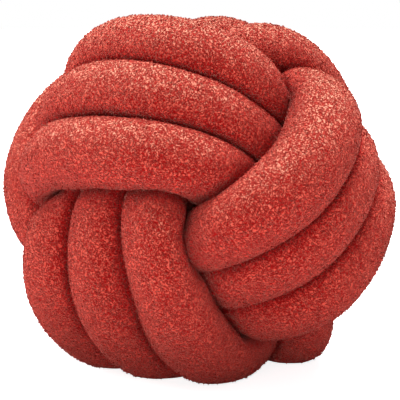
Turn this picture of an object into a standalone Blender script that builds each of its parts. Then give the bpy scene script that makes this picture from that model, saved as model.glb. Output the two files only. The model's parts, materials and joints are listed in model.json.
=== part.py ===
"""Knot cushion: one long stuffed tube tied into a ball.

The tube lies in three bands at right angles. Each band goes three times round the ball,
side by side. It lies on top on two opposite faces and dives under the next band on two
others, so the three bands lock one another. The tube changes bands inside the ball, and
its two round ends are tucked in there as well.

Metres, +Z up. The origin is on the floor, under the middle of the cushion.
"""
import math
from collections import namedtuple

import bmesh
import bpy
import numpy as np
from mathutils import Euler

# --- The tube ---------------------------------------------------------------------------
TUBE_RADIUS = 0.0256
SIDES = 16                   # corners of its section
STATION_STEP = 0.0185        # from one section to the next, along the tube
FINE_STEP = 0.003            # spacing of the points that stand for the centre line
PASS_GAP = 0.004             # left between passes, so that their flat facets never meet

# --- The knot, measured to the tube's centre line ---------------------------------------
TOP_REACH = 0.1215           # from the middle of the knot to a pass that lies on top
DIVE_REACH = 0.0815          # and to a pass that dives under
SQUARENESS = 2.5             # 2 would make each turn an ellipse, more makes it boxier
TOP_PITCH = 0.048            # from pass to pass across a band, where it lies on top
DIVE_PITCH = 0.035           # and where it is squeezed under the next band
SHOULDER_SPREAD = 0.0018     # extra pitch half-way between the two
CROWN = 0.04                 # share by which the outer passes of a band lie lower
TURNS = 3
STEP_OVER = 0.10             # run in which the tube steps over to the next place, out of sight
EASE = 0.036                 # run over which the line is averaged, so that no turn is sharp

# --- The stretches inside the ball ------------------------------------------------------
CORE_REACH = 0.066           # where the tube leaves a band for the inside of the ball
CORE_HANDLE = 0.05           # how far it holds its direction there
CORE_DIP = 1.2               # how steeply it dives

# --- How the cushion lies ---------------------------------------------------------------
KNOT_TURN = (-86.5, -45.0, -128.0)    # degrees about X, Y and Z, from the knot's own axes
REST_HEIGHT = 0.130                   # middle of the knot above the floor, once it has settled

MM = 0.001

# Each band names the knot axes it uses: the faces it lies on, the faces it dives at and
# the axis its passes are stacked along. Then come the angle where the tube enters it, its
# sense, and the place, -1 to 1, of its first pass.
Band = namedtuple("Band", "top dive stack enter sense first")
BANDS = {
    "upper": Band(top=0, dive=2, stack=1, enter=90, sense=-1, first=-1),
    "left": Band(top=1, dive=0, stack=2, enter=90, sense=1, first=1),
    "right": Band(top=2, dive=1, stack=0, enter=270, sense=1, first=1),
}

# How each pass strays from its even place where it lies on top, in mm. lift raises it and
# tip raises one end and lowers the other. bow shifts it sideways, lean slants it, hump
# shifts both its shoulders and bend gives it an S.
Stray = namedtuple("Stray", "lift bow lean hump bend tip")
FRONT = {
    ("upper", -1): Stray(-1, 3, -3, 0, 3, -6),
    ("upper", 0): Stray(-3, 4, -7, 0, 7, -7),
    ("upper", 1): Stray(-5, 0, -4, -1, 3, -2),
    ("left", -1): Stray(1, -4, -3, 2, 2, 2),
    ("left", 0): Stray(0, -5, -6, 2, 6, 0),
    ("left", 1): Stray(0, -2, 0, 2, 3, -3),
    ("right", -1): Stray(2, 4, 3, -3, -7, -1),
    ("right", 0): Stray(2, 5, 11, -4, -9, 0),
    ("right", 1): Stray(11, -1, 10, 1, -6, -3),
}
BACK = {
    ("upper", -1): Stray(0, -3, 4, 0, 0, 0),
    ("upper", 0): Stray(0, -4, 3, 0, 0, 0),
    ("upper", 1): Stray(5, -3, -1, 0, 0, 24),
    ("left", -1): Stray(8, 1, -7, 0, 0, -1),
    ("left", 0): Stray(4, 2, -8, 0, 0, -1),
    ("left", 1): Stray(-5, 5, -6, 0, 0, -1),
    ("right", -1): Stray(-2, 8, -8, 0, 0, 0),
    ("right", 0): Stray(-2, 7, -7, 0, 0, 0),
    ("right", 1): Stray(-2, 8, -8, 0, 0, 0),
}

# The two tucked ends in knot axes: where each one stops, in mm, and its direction there.
FIRST_END = ((-40, 22, -16), (-0.2, -0.8, 0.5))
LAST_END = ((34, 48, -38), (0.8, 0.2, -0.6))


def smooth(x):
    x = np.clip(x, 0.0, 1.0)
    return x * x * (3.0 - 2.0 * x)


def power(x, exponent):
    return np.sign(x) * np.abs(x) ** exponent


def stray(name, place, front):
    """The six stray values along a pass, eased from one place of the band to the next."""
    values = np.zeros((len(Stray._fields), len(place)))
    for table, mask in ((FRONT, front), (BACK, ~front)):
        for pass_place in (-1, 0, 1):
            share = np.where(mask, np.clip(1.0 - np.abs(place - pass_place), 0.0, 1.0), 0.0)
            values += np.outer(table[name, pass_place], share) * MM
    return Stray(*values)


def band_path(name):
    """Centre line of one band's three turns, in knot axes, with its hidden ends cut off."""
    band = BANDS[name]
    turn = np.linspace(0.0, TURNS, 800 * TURNS)
    angle = math.radians(band.enter) + band.sense * math.tau * turn
    cos, sin = np.cos(angle), np.sin(angle)
    across = TOP_REACH * power(cos, 2.0 / SQUARENESS)
    # the tube steps over to its next place as it crosses the face where it entered
    nearest = np.round(turn)
    past = np.sign(turn - nearest)
    at_entry = np.abs(turn - nearest) < 0.25
    stepped = smooth(0.5 + past * np.where(at_entry, np.abs(across) / STEP_OVER, 0.5))
    place = np.clip(band.first * (2.0 - nearest - stepped), -1.0, 1.0)

    on_top = cos * cos
    along = 2.0 * np.abs(cos) * sin            # -1 and 1 at a pass's two shoulders
    s_curve = along * (cos * cos - sin * sin)
    off = stray(name, place, cos > 0.0)
    pitch = DIVE_PITCH + (TOP_PITCH - DIVE_PITCH) * on_top
    pitch = pitch + SHOULDER_SPREAD * 4.0 * on_top * (1.0 - on_top)

    points = np.zeros((len(turn), 3))
    points[:, band.top] = across * (1.0 - CROWN * np.abs(place) * on_top)
    points[:, band.top] += np.sign(cos) * (off.lift + off.tip * along) * on_top
    points[:, band.dive] = DIVE_REACH * power(sin, 2.0 / SQUARENESS)
    points[:, band.stack] = place * pitch + off.bow * on_top + off.lean * along
    points[:, band.stack] += off.hump * along * along + off.bend * s_curve
    hidden = (np.abs(across) < CORE_REACH) & (np.abs(turn - TURNS / 2.0) > TURNS / 2.0 - 0.25)
    return points[~hidden]


def unit(vector):
    return vector / np.linalg.norm(vector)


def bend_between(start, start_way, end, end_way, count=80):
    """A cubic curve between two points, from one direction to the other."""
    t = np.linspace(0.0, 1.0, count)[:, None]
    first, second = start + CORE_HANDLE * start_way, end - CORE_HANDLE * end_way
    return (start * (1 - t) ** 3 + 3 * first * t * (1 - t) ** 2
            + 3 * second * t ** 2 * (1 - t) + end * t ** 3)


def way_in(path):
    """Direction of the tube as it leaves the end of a band and dives into the ball."""
    return unit(path[-1] - path[-2]) - CORE_DIP * unit(path[-1])


def way_out(path):
    """Direction of the tube as it rises to the start of a band."""
    return unit(path[1] - path[0]) + CORE_DIP * unit(path[0])


def spaced(points, step):
    """The same line with points at even steps."""
    length = np.concatenate([[0.0], np.cumsum(np.linalg.norm(np.diff(points, axis=0), axis=1))])
    count = int(round(length[-1] / step))
    at = np.linspace(0.0, length[-1], count + 1)
    return np.stack([np.interp(at, length, points[:, axis]) for axis in range(3)], axis=1)


def eased(line):
    """The same line with each point averaged over a short run of it, its ends kept."""
    half = int(EASE / FINE_STEP / 2.0)
    kernel = np.full(2 * half + 1, 1.0 / (2 * half + 1))
    longer = np.pad(line, ((half, half), (0, 0)), mode="reflect", reflect_type="odd")
    return np.stack([np.convolve(longer[:, axis], kernel, mode="valid") for axis in range(3)],
                    axis=1)


def centre_line():
    """The whole tube's centre line, turned as the cushion lies, from end to end."""
    upper, left, right = (band_path(name) for name in BANDS)
    tip, way = (np.array(row, dtype=float) for row in FIRST_END)
    last_tip, last_way = (np.array(row, dtype=float) for row in LAST_END)
    runs = [
        bend_between(tip * MM, unit(way), upper[0], way_out(upper)),
        upper[1:],
        bend_between(upper[-1], way_in(upper), left[0], way_out(left))[1:],
        left[1:],
        bend_between(left[-1], way_in(left), right[0], way_out(right))[1:],
        right[1:],
        bend_between(right[-1], way_in(right), last_tip * MM, unit(last_way))[1:],
    ]
    turned = np.array(Euler([math.radians(a) for a in KNOT_TURN], "XYZ").to_matrix())
    line = eased(spaced(np.concatenate(runs), FINE_STEP))
    return spaced(line, FINE_STEP) @ turned.T + np.array([0.0, 0.0, REST_HEIGHT])


def carried_frames(line):
    """Two directions across the tube at each point, carried along it without twisting."""
    ways = np.gradient(line, axis=0)
    ways /= np.linalg.norm(ways, axis=1)[:, None]
    side = unit(np.cross(ways[0], [0.0, 0.0, 1.0]))
    sides = np.empty_like(line)
    for i, way in enumerate(ways):
        side = unit(side - way * np.dot(side, way))
        sides[i] = side
    return sides, np.cross(ways, sides)


def section(line, i, spokes, radius):
    """Corners of the tube's section at one point of its centre line.

    A corner stops half-way to the nearest other pass, and at the floor, so the tube is
    flat wherever it presses on itself or stands.
    """
    centre = line[i]
    reach = np.full(len(spokes), radius)
    away = np.abs(np.arange(len(line)) - i) * FINE_STEP > math.pi * TUBE_RADIUS
    others = line[away] - centre
    apart = np.einsum("ij,ij->i", others, others)
    near = apart < (2.2 * TUBE_RADIUS) ** 2
    if near.any():
        towards = spokes @ others[near].T + PASS_GAP
        halfway = (apart[near] - PASS_GAP ** 2) / (2.0 * np.maximum(towards, 1e-9))
        reach = np.minimum(reach, halfway.min(axis=1))
    down = np.maximum(-spokes[:, 2], 1e-9)
    reach = np.minimum(reach, centre[2] / down)
    return centre + spokes * reach[:, None]


def tube_sections():
    """Every section of the tube, closing to a small round at its two ends."""
    line = centre_line()
    sides, ups = carried_frames(line)
    length = (len(line) - 1) * FINE_STEP
    count = int(round((length - 2.0 * TUBE_RADIUS) / STATION_STEP))
    body = np.linspace(TUBE_RADIUS, length - TUBE_RADIUS, count + 1)
    rounding = TUBE_RADIUS * (1.0 - np.cos(np.radians([20.0, 45.0, 68.0])))
    stations = np.concatenate([rounding, body, (length - rounding)[::-1]])
    angles = np.arange(SIDES) * math.tau / SIDES
    rings = []
    for at in stations:
        i = int(round(at / FINE_STEP))
        to_end = min(at, length - at, TUBE_RADIUS)
        radius = math.sqrt(TUBE_RADIUS ** 2 - (TUBE_RADIUS - to_end) ** 2)
        spokes = np.outer(np.cos(angles), sides[i]) + np.outer(np.sin(angles), ups[i])
        rings.append(section(line, i, spokes, radius))
    return rings


def cloth_material():
    material = bpy.data.materials.new("terracotta_fleece")
    material.use_nodes = True
    shader = material.node_tree.nodes["Principled BSDF"]
    shader.inputs["Base Color"].default_value = (0.50, 0.085, 0.055, 1.0)
    shader.inputs["Roughness"].default_value = 0.95
    shader.inputs["Metallic"].default_value = 0.0
    return material


def make_tube():
    """Skin the sections, cap both ends and centre the cushion over the origin."""
    bm = bmesh.new()
    rings = [[bm.verts.new(corner) for corner in ring] for ring in tube_sections()]
    for ring, following in zip(rings, rings[1:]):
        for k in range(SIDES):
            after = (k + 1) % SIDES
            bm.faces.new((ring[k], ring[after], following[after], following[k]))
    bm.faces.new(rings[0][::-1])
    bm.faces.new(rings[-1])
    xs = [vert.co.x for vert in bm.verts]
    ys = [vert.co.y for vert in bm.verts]
    middle = ((min(xs) + max(xs)) / 2.0, (min(ys) + max(ys)) / 2.0, 0.0)
    bmesh.ops.translate(bm, verts=bm.verts, vec=[-value for value in middle])
    bmesh.ops.recalc_face_normals(bm, faces=bm.faces)
    mesh = bpy.data.meshes.new("knotted_tube")
    bm.to_mesh(mesh)
    bm.free()
    mesh.materials.append(cloth_material())
    mesh.shade_smooth()
    tube = bpy.data.objects.new("knotted_tube", mesh)
    bpy.context.scene.collection.objects.link(tube)
    return tube


def clear_scene():
    for old in list(bpy.data.objects):
        bpy.data.objects.remove(old, do_unlink=True)


clear_scene()
make_tube()
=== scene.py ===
# %% [markdown]
# # A knot cushion in curly fleece
#
# A knot cushion is one long stuffed tube, tied into a ball. The tube goes round in three
# bands of three passes each, and every band dives under the next one, so the knot holds
# itself. The shape is already here: the frame holds a plain solid of the whole tube.
# What is missing is everything that makes it a cushion: passes that press on each other,
# a soft swelling between them, and a cloth of tiny wool-like curls that catches the light.

# %% Load the frame
import json
import math

import bmesh
import bpy
import numpy as np
from mathutils import Matrix, Vector, noise
from mathutils.bvhtree import BVHTree

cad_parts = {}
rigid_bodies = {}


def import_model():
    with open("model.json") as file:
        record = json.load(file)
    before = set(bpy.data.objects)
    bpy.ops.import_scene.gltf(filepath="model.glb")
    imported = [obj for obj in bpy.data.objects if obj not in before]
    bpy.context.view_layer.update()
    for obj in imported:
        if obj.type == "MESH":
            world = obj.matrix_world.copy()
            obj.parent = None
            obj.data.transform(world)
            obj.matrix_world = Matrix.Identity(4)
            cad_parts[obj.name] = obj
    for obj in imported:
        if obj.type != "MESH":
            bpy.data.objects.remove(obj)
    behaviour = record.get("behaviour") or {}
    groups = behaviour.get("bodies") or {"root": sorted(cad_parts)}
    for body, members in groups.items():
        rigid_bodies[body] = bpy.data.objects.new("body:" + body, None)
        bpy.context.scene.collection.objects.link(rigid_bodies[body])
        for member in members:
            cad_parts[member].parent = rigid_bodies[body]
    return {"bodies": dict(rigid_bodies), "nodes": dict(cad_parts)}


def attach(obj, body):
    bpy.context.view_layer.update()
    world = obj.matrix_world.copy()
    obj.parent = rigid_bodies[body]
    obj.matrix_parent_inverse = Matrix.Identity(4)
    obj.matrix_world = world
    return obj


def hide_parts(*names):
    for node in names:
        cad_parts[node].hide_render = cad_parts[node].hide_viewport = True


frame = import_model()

MM = 0.001
TUBE = "knotted_tube"

framed = {*frame["bodies"].values(), *frame["nodes"].values()}
for old in set(bpy.data.objects) - framed:
    bpy.data.objects.remove(old)
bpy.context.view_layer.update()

# %% [markdown]
# ## The camera
#
# The camera comes first, because every later choice is judged through it. The photograph
# was taken from a little above the cushion's middle with a long lens, so the ball looks
# calm and hardly tapers. A long lens far away gives the same picture as in the studio; a
# short lens close by would make the nearest passes bulge.

# %% Place the camera
SENSOR_WIDTH = 36.0
LENS = 157.9
CAMERA_DISTANCE = 1.351
CAMERA_RISE = math.radians(8.0)
LOOK_AT = Vector((0.0026, 0.003, 0.1281))

to_camera = Vector((0.0, -math.cos(CAMERA_RISE), math.sin(CAMERA_RISE)))
camera_data = bpy.data.cameras.new("studio_camera")
camera_data.sensor_width = SENSOR_WIDTH
camera_data.lens = LENS
camera = bpy.data.objects.new("studio_camera", camera_data)
camera.location = LOOK_AT + to_camera * CAMERA_DISTANCE
camera.rotation_euler = to_camera.to_track_quat("Z", "Y").to_euler()
bpy.context.scene.collection.objects.link(camera)
bpy.context.scene.camera = camera
print("camera at", [round(value, 3) for value in camera.location])

# %% [markdown]
# ## The studio
#
# The cushion stands on a plain pale floor that fades into the background. One big flat
# plane is enough. Its paper glows a little for the camera alone, so it meets the white
# backdrop without a horizon line, and the cushion's shadow on it stays pale, as in the
# photograph.

# %% Lay the floor
FLOOR_HALF = 6.0             # metres from the middle to an edge

floor_bm = bmesh.new()
bmesh.ops.create_grid(floor_bm, x_segments=1, y_segments=1, size=FLOOR_HALF)
floor_mesh = bpy.data.meshes.new("floor")
floor_bm.to_mesh(floor_mesh)
floor_bm.free()
floor = bpy.data.objects.new("floor", floor_mesh)
bpy.context.scene.collection.objects.link(floor)
print("floor laid,", 2 * FLOOR_HALF, "m wide")

# %% Cover it with pale paper
PAPER_SEEN = 1.0
PAPER_FOR_BOUNCES = 0.80     # darker, so that the floor doesn't light the cushion too much
PAPER_GLOW = 0.85            # seen by the camera alone

paper = bpy.data.materials.new("pale_paper")
paper.use_nodes = True
paper_nodes, paper_links = paper.node_tree.nodes, paper.node_tree.links
paper_shader = paper_nodes["Principled BSDF"]
paper_shader.inputs["Roughness"].default_value = 0.9
paper_shader.inputs["Specular IOR Level"].default_value = 0.0
seen_paper = paper_nodes.new("ShaderNodeLightPath")
paper_tone = paper_nodes.new("ShaderNodeMapRange")
paper_tone.inputs["To Min"].default_value = PAPER_FOR_BOUNCES
paper_tone.inputs["To Max"].default_value = PAPER_SEEN
paper_links.new(seen_paper.outputs["Is Camera Ray"], paper_tone.inputs["Value"])
paper_links.new(paper_tone.outputs["Result"], paper_shader.inputs["Base Color"])
paper_glow = paper_nodes.new("ShaderNodeMapRange")
paper_glow.inputs["To Max"].default_value = PAPER_GLOW
paper_links.new(seen_paper.outputs["Is Camera Ray"], paper_glow.inputs["Value"])
paper_links.new(paper_glow.outputs["Result"], paper_shader.inputs["Emission Strength"])
floor_mesh.materials.append(paper)
print("paper is", PAPER_SEEN, "to the camera and", PAPER_FOR_BOUNCES, "to the cushion")

# %% [markdown]
# ## The light
#
# Four things light the fleece in the photograph. A pale studio all round keeps every
# shadow red and soft. A wide sun from above, a little behind the cushion, turns the tops
# of the passes peach. A low lamp in front draws the curls, and one at the left edges that
# side of the ball. A sun's angle and an area lamp's size decide how soft its shadows are.

# %% Light the studio
ROOM_ABOVE = 0.30            # brightness of the studio overhead
ROOM_BELOW = 0.16            # and below the horizon
LOWEST_UPNESS = -0.2         # where the lower brightness begins: 1 is straight up, 0 level
BACKDROP = 1.0               # what the camera sees behind the cushion

world = bpy.data.worlds.new("studio")
world.use_nodes = True
bpy.context.scene.world = world
bpy.context.scene.view_settings.view_transform = "Standard"
room_nodes, room_links = world.node_tree.nodes, world.node_tree.links
direction = room_nodes.new("ShaderNodeTexCoord")
upness = room_nodes.new("ShaderNodeSeparateXYZ")
room_links.new(direction.outputs["Generated"], upness.inputs["Vector"])
room = room_nodes.new("ShaderNodeMapRange")
room.inputs["From Min"].default_value = LOWEST_UPNESS
room.inputs["From Max"].default_value = 1.0
room.inputs["To Min"].default_value = ROOM_BELOW
room.inputs["To Max"].default_value = ROOM_ABOVE
room_links.new(upness.outputs["Z"], room.inputs["Value"])
seen = room_nodes.new("ShaderNodeLightPath")
choice = room_nodes.new("ShaderNodeMix")
choice.inputs["B"].default_value = BACKDROP
room_links.new(seen.outputs["Is Camera Ray"], choice.inputs["Factor"])
room_links.new(room.outputs["Result"], choice.inputs["A"])
room_links.new(choice.outputs["Result"], room_nodes["Background"].inputs["Strength"])
room_nodes["Background"].inputs["Color"].default_value = (1.0, 1.0, 1.0, 1.0)
print("room light from", ROOM_BELOW, "to", ROOM_ABOVE)

# %% Hang the lamps
AIM = Vector((0.0, 0.0, 0.13))        # the middle of the ball


def lamp(name, kind, place, energy):
    """A lamp at a place in metres, turned towards the cushion. A sun's energy is in W/m2."""
    data = bpy.data.lights.new(name, kind)
    data.energy = energy
    holder = bpy.data.objects.new(name, data)
    holder.location = place
    holder.rotation_euler = (Vector(place) - AIM).to_track_quat("Z", "Y").to_euler()
    bpy.context.scene.collection.objects.link(holder)
    return data


top_lamp = lamp("top_lamp", "SUN", (0.2, 0.5, 1.7), 5.0)
top_lamp.angle = math.radians(30.0)
front_lamp = lamp("front_lamp", "AREA", (-0.3, -1.7, 0.2), 11.0)
front_lamp.size = 0.6
rim_lamp = lamp("rim_lamp", "AREA", (-1.8, 0.3, 0.6), 16.0)
rim_lamp.size = 0.8

# %% [markdown]
# ## The tube, ready for sewing
#
# The real cushion starts as a strip of fleece sewn into a sleeve and stuffed. Its solid in
# the frame is made of loose triangles, which is right for weighing it but not for bending
# it. So the first step is a clean copy: corners that touch are merged, and pairs of
# triangles become the four-sided patches that a subdivision surface rounds off evenly.
# Drawing the tube afresh along a curve would also work, but then it could drift away from
# the solid that the rest of the model is built on.

# %% Copy the tube as four-sided patches
MERGE = 0.01 * MM            # corners nearer to each other than this are one
PAIRING = math.radians(70.0) # how uneven two triangles may be and still become one patch

cage = bmesh.new()
cage.from_mesh(frame["nodes"][TUBE].data)
bmesh.ops.remove_doubles(cage, verts=cage.verts, dist=MERGE)
bmesh.ops.join_triangles(cage, faces=cage.faces, angle_face_threshold=PAIRING,
                         angle_shape_threshold=PAIRING)
quads = sum(len(face.verts) == 4 for face in cage.faces)
print("patches:", quads, "four-sided of", len(cage.faces))

# %% [markdown]
# ## Which stretch is which band
#
# The tube is walked from one end to the other, ring of corners by ring of corners. A
# corner's ring number is the number of steps that lead to it, and Blender's mesh knows
# its neighbours, so no list of places is needed. Where the rings come near the middle of
# the ball the tube changes bands, out of sight. The real tube is whole, but with its curls
# it would be too heavy a mesh to handle, so the cloth is cut there into three pieces.

# %% Number the rings
def steps_from(start):
    """How many steps lead to each corner of the cage from the starting one."""
    steps = {start: 0}
    edge_of_walk = [start]
    while edge_of_walk:
        reached = []
        for vert in edge_of_walk:
            for edge in vert.link_edges:
                other = edge.other_vert(vert)
                if other not in steps:
                    steps[other] = steps[vert] + 1
                    reached.append(other)
        edge_of_walk = reached
    return steps


ring_layer = cage.verts.layers.float.new("ring")
band_layer = cage.faces.layers.int.new("band")
cage.verts.ensure_lookup_table()
walk = steps_from(cage.verts[0])
tube_end = max(walk, key=walk.get)
ring_of = steps_from(tube_end)
ring_count = max(ring_of.values()) + 1
for vert, ring in ring_of.items():
    vert[ring_layer] = ring
print("rings from end to end:", ring_count)

# %% Find where the tube changes bands
CORE_REACH = 55.0 * MM       # rings nearer to the middle than this are inside the core
TUCKED_RINGS = 6             # a run this near an end of the tube is only the tucked end

middle = sum((vert.co for vert in cage.verts), Vector()) / len(cage.verts)
ring_middles = [Vector() for _ in range(ring_count)]
ring_sizes = [0] * ring_count
for vert, ring in ring_of.items():
    ring_middles[ring] += vert.co
    ring_sizes[ring] += 1
ring_middles = [total / size for total, size in zip(ring_middles, ring_sizes)]
inside = [ring for ring in range(ring_count)
          if (ring_middles[ring] - middle).length < CORE_REACH]
runs = []
for ring in inside:
    if runs and ring == runs[-1][-1] + 1:
        runs[-1].append(ring)
    else:
        runs.append([ring])
changes = [run[len(run) // 2] for run in runs
           if run[0] >= TUCKED_RINGS and run[-1] < ring_count - TUCKED_RINGS]
for face in cage.faces:
    first_ring = min(ring_of[vert] for vert in face.verts)
    face[band_layer] = sum(first_ring >= change for change in changes)
print("runs inside the core:", [(run[0], run[-1]) for run in runs], "changes at", changes)

# %% [markdown]
# ## Passes that press on each other
#
# The solid leaves a gap of four millimetres between its passes, so that its flat sides
# never cross. On the real cushion the stuffing pushes them together until the fleece
# touches, and fills the grooves between them down to a thin crease. From each corner a
# ray looks straight out of the cloth, and where it meets another pass, the corner moves
# almost half-way there. The moves are averaged with their neighbours', so no pass gets a
# dent or a step. A few small steps do it better than a big one, because the cloth faces
# another way after each of them.

# %% Round the cage off
def shaped(obj):
    """The mesh of an object as its modifiers leave it."""
    graph = bpy.context.evaluated_depsgraph_get()
    return bpy.data.meshes.new_from_object(obj.evaluated_get(graph))


def rounded(mesh, levels):
    """A copy of a mesh, smoothed by a subdivision surface."""
    holder = bpy.data.objects.new("rounding", mesh)
    bpy.context.scene.collection.objects.link(holder)
    rounding = holder.modifiers.new("rounding", "SUBSURF")
    rounding.levels = levels
    rounding.render_levels = levels
    result = shaped(holder)
    bpy.data.objects.remove(holder)
    return result


cage_mesh = bpy.data.meshes.new("cage")
cage.to_mesh(cage_mesh)
cage.free()
sleeve_mesh = rounded(cage_mesh, 1)
print("sleeve:", len(sleeve_mesh.polygons), "patches")

# %% Close the gaps
LOOK_OUT = 14.0 * MM         # how far a ray looks for another pass
NEAR = 5.0 * MM              # up to here a corner goes all the way, further off only a part
RAY_START = 0.2 * MM         # above the cloth, so that a ray doesn't meet its own patch
HALF_SLIT = 0.75 * MM        # left on each side, for the stuffing to close
SWELL = 3.5 * MM             # where no other pass is near, to make up for all the rounding
STEPS = 4
AVERAGINGS = 3               # rounds, with the neighbours' moves


def points_of(mesh):
    """Every corner of a mesh as a row of three numbers."""
    points = np.empty(len(mesh.vertices) * 3)
    mesh.vertices.foreach_get("co", points)
    return points.reshape(-1, 3)


def put_points(mesh, points):
    """Move every corner of a mesh, but none below the floor."""
    points[:, 2] = np.maximum(points[:, 2], 0.0)
    mesh.vertices.foreach_set("co", points.ravel())
    mesh.update()


def normals_of(mesh):
    """The outward direction at every corner."""
    normals = np.empty(len(mesh.vertices) * 3)
    mesh.vertices.foreach_get("normal", normals)
    return normals.reshape(-1, 3)


def tree_of(mesh):
    """The patches of a mesh, sorted so that a ray finds the nearest one quickly."""
    patches = [tuple(face.vertices) for face in mesh.polygons]
    return BVHTree.FromPolygons(points_of(mesh).tolist(), patches)


def averaged(values, mesh, rounds):
    """Values at the corners, averaged a few times with those at the other end of each edge."""
    ends = np.empty(len(mesh.edges) * 2, dtype=int)
    mesh.edges.foreach_get("vertices", ends)
    first, second = ends.reshape(-1, 2).T
    links = np.bincount(ends, minlength=len(values))
    for _ in range(rounds):
        total = np.bincount(first, values[second], len(values))
        total += np.bincount(second, values[first], len(values))
        values = 0.5 * values + 0.5 * total / links
    return values


def press_outwards(mesh, swell, half_slit):
    """One step outwards for every corner, half-way to the next pass where one is near."""
    points, normals = points_of(mesh), normals_of(mesh)
    tree = tree_of(mesh)
    push = np.full(len(points), swell)
    for i, (point, normal) in enumerate(zip(points, normals)):
        way = Vector(normal)
        distance = tree.ray_cast(Vector(point) + way * RAY_START, way, LOOK_OUT)[3]
        if distance is not None:
            far = min(max((distance - NEAR) / (LOOK_OUT - NEAR), 0.0), 1.0)
            share = 1.0 - far * far * (3.0 - 2.0 * far)          # an even fall from 1 to 0
            push[i] += share * ((distance + RAY_START) / 2.0 - half_slit - swell)
    push = averaged(push, mesh, AVERAGINGS)
    put_points(mesh, points + normals * push[:, None])
    print("corners moved, mm:", (np.percentile(push, [0, 5, 50, 95, 100]) / MM).round(2))


for _ in range(STEPS):
    press_outwards(sleeve_mesh, SWELL / STEPS, HALF_SLIT)

# %% [markdown]
# ## Stuffing
#
# Moving corners by rule closes the gaps, but it looks cast. Stuffing is pressure, and
# cloth gives way until its own pull holds that pressure, so Blender's cloth simulation
# finishes the shape: the passes swell between their neighbours, flatten where they meet
# and pull small folds into the bends. Gravity stays off, because the solid already rests
# as the real cushion does. No corner may end up further from its start than the cap, and
# none below the floor. Then the result is kept as the mesh and the simulation is gone.
# One more step outwards closes the creases where the cloth drew back.

# %% Stuff the tube
PRESSURE = 12.0              # of the stuffing, in the simulation's own unit
STRETCH_STIFFNESS = 8.0
SHEAR_STIFFNESS = 3.0
BENDING_STIFFNESS = 0.5
FRAMES = 8
MOVE_CAP = 2.0 * MM          # the furthest that the simulation may take a corner
CREASE = 0.3 * MM            # half the slit that is left in the end


def stuffed(mesh):
    """The same mesh after a short cloth simulation with pressure inside."""
    holder = bpy.data.objects.new("stuffing", mesh)
    bpy.context.scene.collection.objects.link(holder)
    start = points_of(mesh)
    cloth = holder.modifiers.new("stuffing", "CLOTH")
    cloth.point_cache.frame_start = 1
    cloth.point_cache.frame_end = FRAMES
    cloth.settings.quality = 6
    cloth.settings.mass = 0.02
    cloth.settings.use_pressure = True
    cloth.settings.uniform_pressure_force = PRESSURE
    cloth.settings.tension_stiffness = STRETCH_STIFFNESS
    cloth.settings.compression_stiffness = STRETCH_STIFFNESS
    cloth.settings.shear_stiffness = SHEAR_STIFFNESS
    cloth.settings.bending_stiffness = BENDING_STIFFNESS
    cloth.settings.air_damping = 5.0
    cloth.settings.effector_weights.gravity = 0.0
    cloth.collision_settings.use_collision = False
    cloth.collision_settings.use_self_collision = True
    cloth.collision_settings.self_distance_min = 1.0 * MM
    cloth.collision_settings.self_impulse_clamp = 0.05
    cloth.collision_settings.collision_quality = 3
    for frame_number in range(1, FRAMES + 1):
        bpy.context.scene.frame_set(frame_number)
    result = shaped(holder)
    bpy.data.objects.remove(holder)
    bpy.context.scene.frame_set(1)
    moved = points_of(result) - start
    far = np.linalg.norm(moved, axis=1)
    moved *= np.minimum(1.0, MOVE_CAP / np.maximum(far, 1e-9))[:, None]
    put_points(result, start + moved)
    print("stuffing moved the cloth", round(far.mean() / MM, 2), "mm on average and",
          round(far.max() / MM, 2), "at most, of which", round(MOVE_CAP / MM, 1), "is kept")
    return result


sleeve_mesh = stuffed(sleeve_mesh)
press_outwards(sleeve_mesh, 0.0, CREASE)

# %% [markdown]
# ## Small patches where the fleece shows
#
# Curls need small patches, and a piece should stay under two hundred thousand triangles,
# so only the cloth that can be seen is made fine. A patch shows if a ray from it finds a
# way out of the ball. The hidden patches between the passes stay as large as they are.
# The smaller patches would be flat facets of the larger ones, so they are wrapped onto a
# smooth copy of the same tube, like cloth pulled over a form.

# %% Find what shows
RAYS = 14                    # over each patch
GRAZING = 0.1                # flatter rays than this are left out: 0 is along the cloth
LIFT_OFF = 1.5 * MM          # where a ray starts, above the cloth
OUT_OF_BALL = 350.0 * MM     # a ray that meets nothing for this long is out


def ray_ways(count):
    """Directions spread evenly over a ball, along a spiral."""
    golden = math.pi * (3.0 - math.sqrt(5.0))
    ways = []
    for k in range(count):
        height = 1.0 - (2.0 * k + 1.0) / count
        across, turn = math.sqrt(1.0 - height * height), golden * k
        ways.append(Vector((across * math.cos(turn), across * math.sin(turn), height)))
    return ways


def what_shows(mesh):
    """For each patch, whether a ray from it gets out of the ball."""
    tree, ways = tree_of(mesh), ray_ways(2 * RAYS)
    shows = np.zeros(len(mesh.polygons), dtype=bool)
    for k, face in enumerate(mesh.polygons):
        normal = face.normal
        start = face.center + normal * LIFT_OFF
        for way in [normal, *ways]:
            if way.dot(normal) > GRAZING and tree.ray_cast(start, way, OUT_OF_BALL)[0] is None:
                shows[k] = True
                break
    return shows


shown = what_shows(sleeve_mesh)
shows_attribute = sleeve_mesh.attributes.new("shows", "INT", "FACE")
shows_attribute.data.foreach_set("value", shown.astype(np.int32))
print("patches that show:", int(shown.sum()), "of", len(shown))

# %% [markdown]
# ## Painted light from the open sky
#
# More rays measure how openly each corner lies, where nothing covers it, and ways that lead
# up count more than ways that lead down. The value is kept, and the colour reads it later to
# paint light and shade: paler tips where a corner lies open under the sky, as a painted
# highlight, and a deeper red where the ball covers it, as painted shade. An ambient occlusion
# node measures much the same in the shader, but only while rendering, and an export loses it.

# %% Measure the open sky
SKY_RAYS = 36                # over each corner


def write_down(mesh, name, values):
    """Keep a value for every corner as an attribute, which later steps and colours read."""
    attribute = mesh.attributes.new(name, "FLOAT", "POINT")
    attribute.data.foreach_set("value", values.astype(np.float32))


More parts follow.
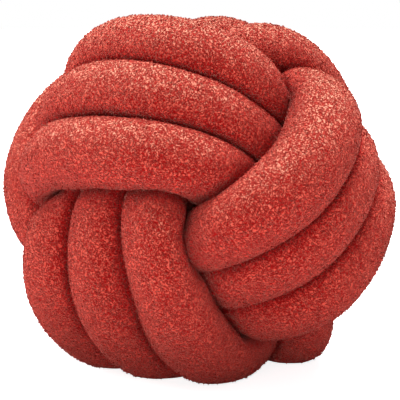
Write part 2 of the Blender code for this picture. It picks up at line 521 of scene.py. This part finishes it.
def sky_shares(mesh, shown_patches):
    """For each corner of a shown patch, how openly it lies, from 0 to 1 on a free top."""
    points, normals = points_of(mesh), normals_of(mesh)
    tree, ways = tree_of(mesh), ray_ways(2 * SKY_RAYS)
    shares = np.zeros(len(points))
    corners = {corner for face, shows in zip(mesh.polygons, shown_patches) if shows
               for corner in face.vertices}
    for corner in corners:
        normal = Vector(normals[corner])
        start = Vector(points[corner]) + normal * LIFT_OFF
        for way in ways:
            slant = way.dot(normal)
            if slant > 0.0 and tree.ray_cast(start, way, OUT_OF_BALL)[0] is None:
                shares[corner] += slant * (1.0 + way.z)
    return shares / sum(way.z * (1.0 + way.z) for way in ways if way.z > 0.0)


sky = averaged(sky_shares(sleeve_mesh, shown), sleeve_mesh, 1)
write_down(sleeve_mesh, "sky", sky)
print("open sky, quartiles:", np.percentile(sky[sky > 0.0], [25, 50, 75]).round(2))

# %% Cut the shown patches small
CUTS_AROUND = 4
CUTS_ALONG = 4
SAME_RING = 0.2              # ring numbers that differ by less belong to one ring

form_mesh = rounded(sleeve_mesh, 2)
fine = bmesh.new()
fine.from_mesh(sleeve_mesh)
shows_layer = fine.faces.layers.int["shows"]
ring_layer = fine.verts.layers.float["ring"]


def triangles_in(mesh):
    """How many triangles a mesh comes to when it is exported."""
    return sum(len(face.vertices) - 2 for face in mesh.polygons)


def shown_edges(lengthwise):
    """Edges of shown patches that run along the tube, or else round it."""
    chosen = []
    for edge in fine.edges:
        first, second = (vert[ring_layer] for vert in edge.verts)
        if (abs(first - second) > SAME_RING) == lengthwise:
            if any(face[shows_layer] for face in edge.link_faces):
                chosen.append(edge)
    return chosen


for lengthwise, cuts in ((False, CUTS_AROUND), (True, CUTS_ALONG)):
    bmesh.ops.subdivide_edges(fine, edges=shown_edges(lengthwise), cuts=cuts,
                              use_grid_fill=True)
fine_mesh = bpy.data.meshes.new("fine")
fine.to_mesh(fine_mesh)
fine.free()
print("fine cloth:", len(fine_mesh.polygons), "patches,", triangles_in(fine_mesh), "triangles")

# %% Wrap the small patches onto a smooth form
def wrapped(mesh, form):
    """The mesh with its corners moved to the nearest place on another mesh."""
    form_holder = bpy.data.objects.new("form", form)
    bpy.context.scene.collection.objects.link(form_holder)
    holder = bpy.data.objects.new("wrapping", mesh)
    bpy.context.scene.collection.objects.link(holder)
    wrap = holder.modifiers.new("wrap", "SHRINKWRAP")
    wrap.target = form_holder
    result = shaped(holder)
    bpy.data.objects.remove(holder)
    bpy.data.objects.remove(form_holder)
    return result


fine_mesh = wrapped(fine_mesh, form_mesh)
low, high = points_of(fine_mesh).min(axis=0), points_of(fine_mesh).max(axis=0)
print("fine cloth spans, mm:", ((high - low) / MM).round(1))

# %% [markdown]
# ## Where the next pass begins
#
# Where one pass presses on the next, both round over into a crease, and the colour there is
# painted a deeper red, as painted shade. So each corner needs its distance to the nearest
# other pass. The whole cushion is one tube, so "another pass" means a stretch with quite other
# ring numbers: the tube is taken in short blocks, and each block looks at all the cloth
# except its own and its neighbours'. Near a pass the corners step back a little.

# %% Measure how near the next pass is
BLOCK = 8                    # rings in a block
CREASE_REACH = 7.0 * MM      # from here on, the next pass is too far to matter
CREASE_DEPTH = 1.0 * MM      # how far the cloth steps back where passes touch


def numbers_of(mesh, name):
    """The values of a corner attribute."""
    values = np.empty(len(mesh.vertices), dtype=np.float32)
    mesh.attributes[name].data.foreach_get("value", values)
    return values


def crease_nearness(mesh, form):
    """For each corner, from 0 where no other pass is near to 1 where one touches."""
    points, form_points = points_of(mesh), points_of(form).tolist()
    blocks = (numbers_of(mesh, "ring") // BLOCK).astype(int)
    form_blocks = (numbers_of(form, "ring") // BLOCK).astype(int)
    patches = [tuple(face.vertices) for face in form.polygons]
    patch_blocks = [form_blocks[patch[0]] for patch in patches]
    nearness = np.zeros(len(points))
    for block in range(blocks.max() + 1):
        others = [patch for patch, its_block in zip(patches, patch_blocks)
                  if abs(its_block - block) > 1]
        tree = BVHTree.FromPolygons(form_points, others)
        for corner in np.flatnonzero(blocks == block):
            distance = tree.find_nearest(Vector(points[corner]), CREASE_REACH)[3]
            if distance is not None:
                nearness[corner] = 1.0 - distance / CREASE_REACH
    return nearness


crease = averaged(crease_nearness(fine_mesh, sleeve_mesh), fine_mesh, 2)
write_down(fine_mesh, "crease", crease)
step_back = (CREASE_DEPTH * crease ** 2)[:, None]
put_points(fine_mesh, points_of(fine_mesh) - normals_of(fine_mesh) * step_back)
print("crease nearness, percentiles:", np.percentile(crease, [25, 50, 75, 95]).round(2))

# %% [markdown]
# ## Curls
#
# Teddy fleece is a mat of tiny wool-like curls, two to three millimetres across, with dark
# valleys between them. The coarser ones are pressed into the cloth itself, so that the
# outline is knobbly and light catches them from any side. Noise folded at zero gives just
# that: round lumps that meet in sharp creases. Bending its coordinates with a second noise
# first turns plain dots into squiggles. Hidden cloth stays flat, since it is only pressed
# on. How high each point stands is also written down as a value, which the colour uses.

# %% Raise the curls
CURL_PITCH = 3.4 * MM
CURL_HEIGHT = 0.5 * MM
CURL_FULLNESS = 2.2          # more makes rounder curls with narrower valleys
BEND_PITCH = 7.0 * MM
BEND_REACH = 2.2 * MM
LUMP_PITCH = 38.0 * MM
LUMP_HEIGHT = 0.7 * MM
CLEAR_OF_FLOOR = 2.0 * MM    # below this the cloth is pressed flat, and no curl fits
CREASE_THINS = 0.9           # how much fewer the curls get into a crease
NOISE_SEED = 1               # unseeded, the bending noise would follow the clock

noise.seed_set(NOISE_SEED)


def curl_heights(points):
    """From 0 in a valley to about 1 on a curl, at each point."""
    heights = np.empty(len(points))
    for i, point in enumerate(points):
        place = Vector(point)
        bent = place + noise.noise_vector(place / BEND_PITCH) * BEND_REACH
        heights[i] = abs(noise.noise(bent / CURL_PITCH))
    return np.sqrt(np.clip(heights * CURL_FULLNESS, 0.0, 1.0))


def lump_heights(points):
    """A slow swell of the stuffing under the cloth, from about -1 to 1."""
    return np.array([noise.noise(Vector(point) / LUMP_PITCH) for point in points])


points, normals = points_of(fine_mesh), normals_of(fine_mesh)
shows_patch = np.empty(len(fine_mesh.polygons), dtype=np.int32)
fine_mesh.attributes["shows"].data.foreach_get("value", shows_patch)
showing = np.zeros(len(points))
for face, shows in zip(fine_mesh.polygons, shows_patch):
    if shows:
        showing[list(face.vertices)] = 1.0
showing = averaged(showing, fine_mesh, AVERAGINGS)
showing *= np.clip((points[:, 2] - CLEAR_OF_FLOOR) / CLEAR_OF_FLOOR, 0.0, 1.0)
showing *= np.clip(1.0 - CREASE_THINS * crease ** 2, 0.0, 1.0)
curls = curl_heights(points)
rise = (curls - 0.5) * CURL_HEIGHT + lump_heights(points) * LUMP_HEIGHT
put_points(fine_mesh, points + normals * (rise * showing)[:, None])
# The colour reads this height: a deeper red in the valleys, partly the curls' own pattern and
# partly painted shade between them.
write_down(fine_mesh, "curl", curls)
write_down(fine_mesh, "showing", showing)
print("curls: mean", curls.mean().round(2),
      "rise, mm:", (np.percentile(rise, [1, 99]) / MM).round(2))

# %% [markdown]
# ## The fleece
#
# The yarn is terracotta red and matt. Its colour is partly the curls' own pattern and partly
# painted light: the top of a curl is painted salmon, as light that goes through the fine
# fibres and scatters, and the valley under it a deep crimson, as painted shade. A pass that
# turns away from the eye gets a pale rim. One number picks the colour from a ramp: the
# height that was written down with the curls, with finer squiggles of noise on Object
# coordinates mixed in. The open sky adds a painted highlight to it and the next pass takes
# away from it as painted shade, so that tops are paler and creases deeper. The pale rim is
# what the shader's sheen layer is for: it stands for fibres that stick out of the cloth.

# %% Choose the yarn's reds
# From the bottom of the pile to its tips; the deepest red also serves as painted shade in
# valleys and creases.
BASE_AND_PAINTED_SHADE = (0.32, 0.001, 0.002, 1.0)     # deep in the pile
SIDE = (0.47, 0.007, 0.007, 1.0)
YARN = (0.60, 0.038, 0.028, 1.0)
TIP = (0.80, 0.105, 0.070, 1.0)
# The palest red is a painted highlight, for tops that lie open to the sky.
PAINTED_HIGHLIGHT = (0.97, 0.460, 0.310, 1.0) # where the pile stands up and light goes through it
PILE_COLOURS = ((0.08, BASE_AND_PAINTED_SHADE), (0.34, SIDE), (0.58, YARN), (0.82, TIP), (1.00, PAINTED_HIGHLIGHT))


def colour_ramp(nodes):
    """The yarn's reds, from the bottom of the pile to its tips."""
    ramp = nodes.new("ShaderNodeValToRGB")
    stops = ramp.color_ramp.elements
    stops[0].position, stops[0].color = PILE_COLOURS[0]
    stops[1].position, stops[1].color = PILE_COLOURS[-1]
    for position, colour in PILE_COLOURS[1:-1]:
        stops.new(position).color = colour
    return ramp


print("the yarn has", len(PILE_COLOURS), "reds")

# %% Draw the fine threads
FINE_BEND = 600.0            # noise cells per metre
FINE_THREADS = 520.0
BEND_AMOUNT = 2.5 * MM
NOISE_MIDDLE = 0.5           # the noise is folded here, and valleys run along the fold
THREAD_EDGE = 0.13           # how far from the fold a thread is at its full height


def fine_threads(nodes, links):
    """Squiggles finer than a curl, from 0 between two threads to 1 on a thread."""
    place = nodes.new("ShaderNodeTexCoord")
    bend = nodes.new("ShaderNodeTexNoise")
    bend.inputs["Scale"].default_value = FINE_BEND
    bend.inputs["Detail"].default_value = 1.0
    links.new(place.outputs["Object"], bend.inputs["Vector"])
    shift = nodes.new("ShaderNodeVectorMath")
    shift.operation = "MULTIPLY_ADD"
    shift.inputs[1].default_value = (BEND_AMOUNT, BEND_AMOUNT, BEND_AMOUNT)
    links.new(bend.outputs["Color"], shift.inputs[0])
    links.new(place.outputs["Object"], shift.inputs[2])
    squiggle = nodes.new("ShaderNodeTexNoise")
    squiggle.inputs["Scale"].default_value = FINE_THREADS
    squiggle.inputs["Detail"].default_value = 1.0
    links.new(shift.outputs["Vector"], squiggle.inputs["Vector"])
    fold = nodes.new("ShaderNodeMath")
    fold.operation = "SUBTRACT"
    fold.inputs[1].default_value = NOISE_MIDDLE
    links.new(squiggle.outputs["Fac"], fold.inputs[0])
    folded = nodes.new("ShaderNodeMath")
    folded.operation = "ABSOLUTE"
    links.new(fold.outputs[0], folded.inputs[0])
    thread = nodes.new("ShaderNodeMapRange")
    thread.inputs["From Max"].default_value = THREAD_EDGE
    links.new(folded.outputs[0], thread.inputs["Value"])
    return thread.outputs["Result"]


print("a cell of the thread noise is", round(1.0 / FINE_THREADS / MM, 1), "mm wide")

# %% Pick the colour by height
PILE_DEPTH = 0.68            # how far apart valleys and tips are in colour
PILE_LEVEL = -0.155          # a lower level makes all of it a deeper red
# Painted light: under open sky the colour is painted paler, as a highlight.
PAINTED_SKY_LIGHT = 0.50              # how much paler it is under open sky
# Painted shade: where another pass is near, the colour is painted a deeper red.
PAINTED_CREASE_SHADE = 0.30           # and how much deeper where another pass presses on it


def kept_value(nodes, name):
    """A value that was written down for each corner, as a material reads it."""
    value = nodes.new("ShaderNodeAttribute")
    value.attribute_name = name
    return value.outputs["Fac"]


def scaled_and_added(nodes, links, value, factor, rest=0.0):
    """The value times the factor, plus the rest, which is a number or another output."""
    lift = nodes.new("ShaderNodeMath")
    lift.operation = "MULTIPLY_ADD"
    lift.inputs[1].default_value = factor
    links.new(value, lift.inputs[0])
    if isinstance(rest, float):
        lift.inputs[2].default_value = rest
    else:
        links.new(rest, lift.inputs[2])
    return lift.outputs[0]


def pile_colour(nodes, links, threads, height_share):
    """The red at each point, by its height in the pile, with painted light from the open sky
    and painted shade in creases.
    """
    height = nodes.new("ShaderNodeMix")
    height.data_type = "FLOAT"
    height.inputs["Factor"].default_value = height_share
    links.new(threads, height.inputs["A"])
    links.new(kept_value(nodes, "curl"), height.inputs["B"])
    level = scaled_and_added(nodes, links, height.outputs["Result"], PILE_DEPTH, PILE_LEVEL)
    level = scaled_and_added(nodes, links, kept_value(nodes, "sky"), PAINTED_SKY_LIGHT, level)
    level = scaled_and_added(nodes, links, kept_value(nodes, "crease"), -PAINTED_CREASE_SHADE, level)
    ramp = colour_ramp(nodes)
    links.new(level, ramp.inputs["Fac"])
    return ramp.outputs["Color"]


print("a tip may be", PAINTED_SKY_LIGHT, "paler under the sky and", PAINTED_CREASE_SHADE, "deeper in a crease")

# %% Mix the fleece
ROUGHNESS = 0.95
GLOSS = 0.1
FUZZ = 0.30                  # weight of the sheen layer
FUZZ_ROUGHNESS = 0.3
FLUFF = (1.0, 0.60, 0.46, 1.0)       # colour of the pale rim
THREAD_DEPTH = 0.9 * MM
GROUND_SHARE = 0.2           # how much the height of the curls counts beside fine threads
CURLS_SHARE = 0.85           # and on a loose curl, whose own threads hardly show


def fleece_material(name, height_share):
    """Matt curly fleece, with the share that the height of the curls has in its colour."""
    material = bpy.data.materials.new(name)
    material.use_nodes = True
    nodes, links = material.node_tree.nodes, material.node_tree.links
    shader = nodes["Principled BSDF"]
    shader.inputs["Roughness"].default_value = ROUGHNESS
    shader.inputs["Specular IOR Level"].default_value = GLOSS
    shader.inputs["Sheen Weight"].default_value = FUZZ
    shader.inputs["Sheen Roughness"].default_value = FUZZ_ROUGHNESS
    shader.inputs["Sheen Tint"].default_value = FLUFF
    threads = fine_threads(nodes, links)
    colour = pile_colour(nodes, links, threads, height_share)
    links.new(colour, shader.inputs["Base Color"])
    bump = nodes.new("ShaderNodeBump")
    bump.inputs["Strength"].default_value = 1.0
    bump.inputs["Distance"].default_value = THREAD_DEPTH
    links.new(threads, bump.inputs["Height"])
    links.new(bump.outputs["Normal"], shader.inputs["Normal"])
    return material


ground_fleece = fleece_material("fleece_ground", GROUND_SHARE)
curl_fleece = fleece_material("fleece_curls", CURLS_SHARE)
print("fleece has", len(ground_fleece.node_tree.nodes), "nodes")

# %% [markdown]
# ## Three bands
#
# Now the long tube is cut where it changes bands, deep inside the ball. A solid thing needs
# a closed skin, so each cut is filled with a patch; leaving it open would hardly show, but
# then the mesh could be neither weighed nor printed. The pieces keep the places they had
# in the tube, and together they stand for the solid.

# %% Cut the tube into its bands
BAND_NAMES = ("upper_band", "left_band", "right_band")


def band_piece(name, number):
    """One band of the fine cloth as a closed piece."""
    bm = bmesh.new()
    bm.from_mesh(fine_mesh)
    band = bm.faces.layers.int["band"]
    others = [face for face in bm.faces if face[band] != number]
    bmesh.ops.delete(bm, geom=others, context="FACES")
    bmesh.ops.holes_fill(bm, edges=[edge for edge in bm.edges if edge.is_boundary])
    open_edges = sum(not edge.is_manifold for edge in bm.edges)
    for face in bm.faces:
        face.smooth = True
    mesh = bpy.data.meshes.new(name)
    bm.to_mesh(mesh)
    bm.free()
    mesh.materials.clear()
    mesh.materials.append(ground_fleece)
    piece = bpy.data.objects.new(name, mesh)
    bpy.context.scene.collection.objects.link(piece)
    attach(piece, "root")
    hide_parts(TUBE)
    print(name, "has", triangles_in(mesh), "triangles and", open_edges, "open edges")
    return piece


bands = [band_piece(name, number) for number, name in enumerate(BAND_NAMES)]

# %% [markdown]
# ## Loose curls
#
# From close by, the pile is a crowd of short woolly arcs, and at the outline they make the
# cushion fuzzy. Each arc is a thin triangular ring spun part of the way round and pinched
# at both ends. Geometry Nodes scatter it: points a set distance apart on the cloth that
# shows, an arc on each, turned and tilted at random. A particle system would do the same,
# but it can't be kept as plain mesh so simply. The seeds are fixed, so every run is alike.

# %% Spin one curl
CURL_RADIUS = 0.95 * MM      # of the arc's middle line
YARN_RADIUS = 0.46 * MM
YARN_SIDES = 3
ARC = math.radians(160.0)
ARC_STEPS = 3
PINCH_REACH = 1.2 * YARN_RADIUS      # around an end of the arc, corners are merged into one
PAINTED_LIGHT_ON_TOP = 0.35          # how much higher in colour the top of the yarn counts


def curl_object():
    """One closed arc of yarn, lying flat, with how high in the pile each point counts."""
    bm = bmesh.new()
    ring = bmesh.ops.create_circle(bm, segments=YARN_SIDES, radius=YARN_RADIUS)["verts"]
    bmesh.ops.rotate(bm, verts=ring, matrix=Matrix.Rotation(math.pi / 2.0, 3, "X"))
    bmesh.ops.translate(bm, verts=ring, vec=(CURL_RADIUS, 0.0, 0.0))
    bmesh.ops.spin(bm, geom=bm.verts[:] + bm.edges[:], cent=(0.0, 0.0, 0.0),
                   axis=(0.0, 0.0, 1.0), angle=ARC, steps=ARC_STEPS, use_duplicate=False)
    for angle in (0.0, ARC):
        place = Vector((math.cos(angle), math.sin(angle), 0.0)) * CURL_RADIUS
        near = [vert for vert in bm.verts if (vert.co - place).length < PINCH_REACH]
        bmesh.ops.pointmerge(bm, verts=near, merge_co=place)
    bmesh.ops.recalc_face_normals(bm, faces=bm.faces)
    for face in bm.faces:
        face.smooth = True
    mesh = bpy.data.meshes.new("curl")
    bm.to_mesh(mesh)
    bm.free()
    # Colour rises with height on each arc: its top is a painted highlight, its underside
    # painted shade.
    heights = points_of(mesh)[:, 2] / YARN_RADIUS
    write_down(mesh, "curl", np.clip(0.5 + PAINTED_LIGHT_ON_TOP * heights, 0.0, 1.0))
    obj = bpy.data.objects.new("curl", mesh)
    bpy.context.scene.collection.objects.link(obj)
    return obj


curl = curl_object()
curl_triangles = triangles_in(curl.data)
print("one curl:", curl_triangles, "triangles")

# %% Scatter the curls
CURL_SPACING = 2.12 * MM     # no two curls stand nearer to each other
CROWDING = 4.0               # places tried on a square as wide as the spacing
CURL_SIZES = (0.75, 1.25)    # smallest and largest, beside the one that was spun
TILT = math.radians(40.0)
PLACE_SEED, TURN_SEED, SIZE_SEED = 7, 1, 2


def scatter_tree():
    """Geometry Nodes that put a curl at each of many even points of the cloth that shows."""
    tree = bpy.data.node_groups.new("scatter_curls", "GeometryNodeTree")
    tree.interface.new_socket("Geometry", in_out="INPUT", socket_type="NodeSocketGeometry")
    tree.interface.new_socket("Geometry", in_out="OUTPUT", socket_type="NodeSocketGeometry")
    nodes, links = tree.nodes, tree.links
    cloth, result = nodes.new("NodeGroupInput"), nodes.new("NodeGroupOutput")
    showing = nodes.new("GeometryNodeInputNamedAttribute")
    showing.data_type = "FLOAT"
    showing.inputs["Name"].default_value = "showing"
    spread = nodes.new("GeometryNodeDistributePointsOnFaces")
    spread.distribute_method = "POISSON"
    spread.inputs["Distance Min"].default_value = CURL_SPACING
    spread.inputs["Density Max"].default_value = CROWDING / CURL_SPACING ** 2
    spread.inputs["Seed"].default_value = PLACE_SEED
    links.new(cloth.outputs["Geometry"], spread.inputs["Mesh"])
    links.new(showing.outputs["Attribute"], spread.inputs["Density Factor"])

    spin_by = nodes.new("FunctionNodeRandomValue")
    spin_by.data_type = "FLOAT_VECTOR"
    spin_by.inputs["Min"].default_value = (-TILT, -TILT, 0.0)
    spin_by.inputs["Max"].default_value = (TILT, TILT, math.tau)
    spin_by.inputs["Seed"].default_value = TURN_SEED
    turn = nodes.new("FunctionNodeRotateRotation")
    turn.rotation_space = "LOCAL"
    links.new(spread.outputs["Rotation"], turn.inputs["Rotation"])
    links.new(spin_by.outputs["Value"], turn.inputs["Rotate By"])
    size = nodes.new("FunctionNodeRandomValue")
    size.data_type = "FLOAT"
    size.inputs["Min"].default_value, size.inputs["Max"].default_value = CURL_SIZES
    size.inputs["Seed"].default_value = SIZE_SEED

    template = nodes.new("GeometryNodeObjectInfo")
    template.inputs["Object"].default_value = curl
    place = nodes.new("GeometryNodeInstanceOnPoints")
    links.new(spread.outputs["Points"], place.inputs["Points"])
    links.new(template.outputs["Geometry"], place.inputs["Instance"])
    links.new(turn.outputs["Rotation"], place.inputs["Rotation"])
    links.new(size.outputs["Value"], place.inputs["Scale"])
    join = nodes.new("GeometryNodeRealizeInstances")
    links.new(place.outputs["Instances"], join.inputs["Geometry"])
    links.new(join.outputs["Geometry"], result.inputs["Geometry"])
    return tree


scatter = scatter_tree()
for band in bands:
    holder = bpy.data.objects.new("scattering", band.data)
    bpy.context.scene.collection.objects.link(holder)
    holder.modifiers.new("scatter", "NODES").node_group = scatter
    mesh = shaped(holder)
    bpy.data.objects.remove(holder)
    name = band.name.replace("band", "curls")
    mesh.name = name
    mesh.materials.clear()
    mesh.materials.append(curl_fleece)
    piece = bpy.data.objects.new(name, mesh)
    bpy.context.scene.collection.objects.link(piece)
    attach(piece, "root")
    triangles = triangles_in(mesh)
    print(name, "has", triangles // curl_triangles, "curls,", triangles, "triangles")
bpy.data.objects.remove(curl)
